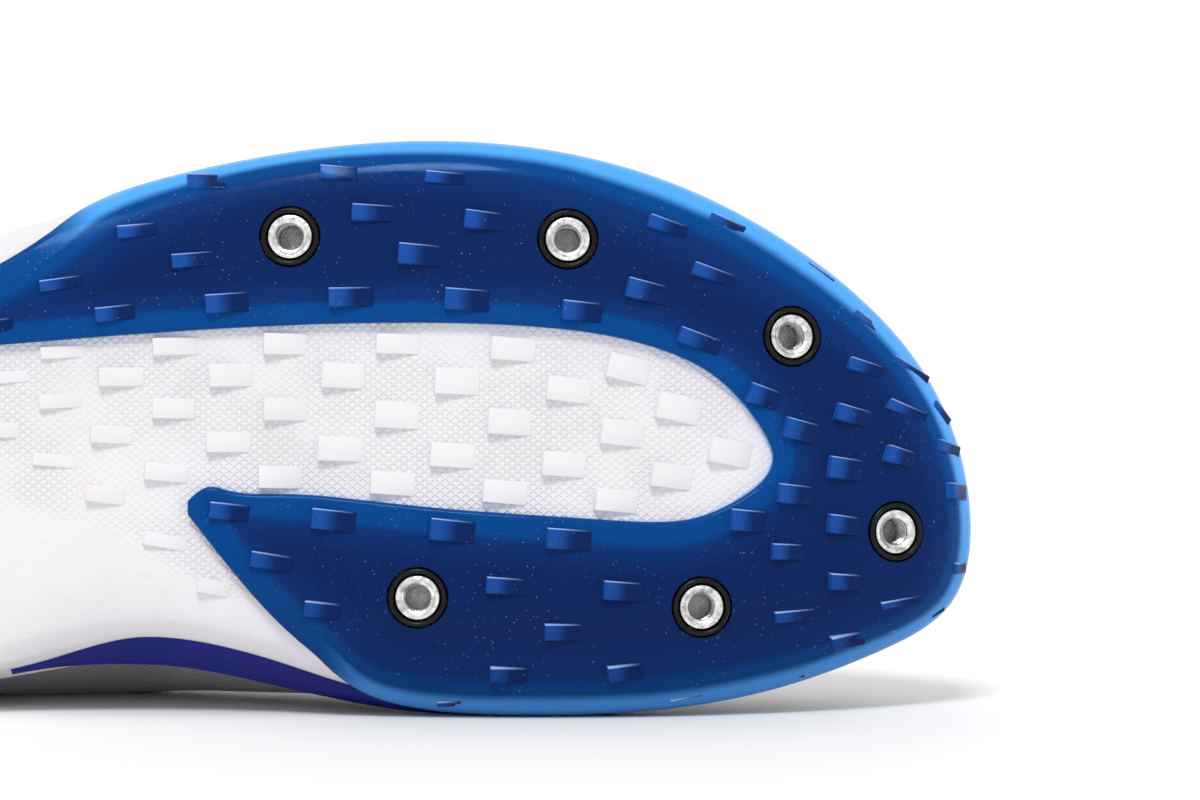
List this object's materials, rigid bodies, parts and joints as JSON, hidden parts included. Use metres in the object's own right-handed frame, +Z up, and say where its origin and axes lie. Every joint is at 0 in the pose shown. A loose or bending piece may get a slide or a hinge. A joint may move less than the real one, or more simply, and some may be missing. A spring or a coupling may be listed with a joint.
{
  "type": "track spike shoe",
  "caption": "Empty right track spike shoe on its side: wedge-lugged foam sole, wrapped spike plate with threaded inserts, ribbed side band, laced textile upper.",
  "frame": {"origin": "on the floor, at the centre of the bounding box seen from above", "axes": "+X from heel to toe, +Z up from the shoe's medial side, on which it lies, to its lateral side, +Y from the tread to the top of the upper, so the sole faces -Y"},
  "size_m": [0.2838, 0.1011, 0.1003],
  "materials": {
    "textile": "matte",
    "white_foam": "satin",
    "violet_band": "satin",
    "plate": "gloss",
    "ring": "satin",
    "insert": "polished",
    "overlay": "satin",
    "lace": "matte",
    "lining": "matte"
  },
  "bodies": {
    "root": {"eyestay": "overlay", "heel_counter": "overlay", "insert_ring_1": "ring", "insert_ring_2": "ring", "insert_ring_3": "ring", "insert_ring_4": "ring", "insert_ring_5": "ring", "insert_ring_6": "ring", "insole": "lining", "lace_bar": "lace", "lace_crossing_1": "lace", "lace_crossing_2": "lace", "lace_crossing_3": "lace", "lace_crossing_4": "lace", "lace_crossing_5": "lace", "midsole": "white_foam", "side_band": "violet_band", "spike_insert_1": "insert", "spike_insert_2": "insert", "spike_insert_3": "insert", "spike_insert_4": "insert", "spike_insert_5": "insert", "spike_insert_6": "insert", "spike_plate": "plate", "tongue": "textile", "upper": "textile"}
  },
  "joints": []
}
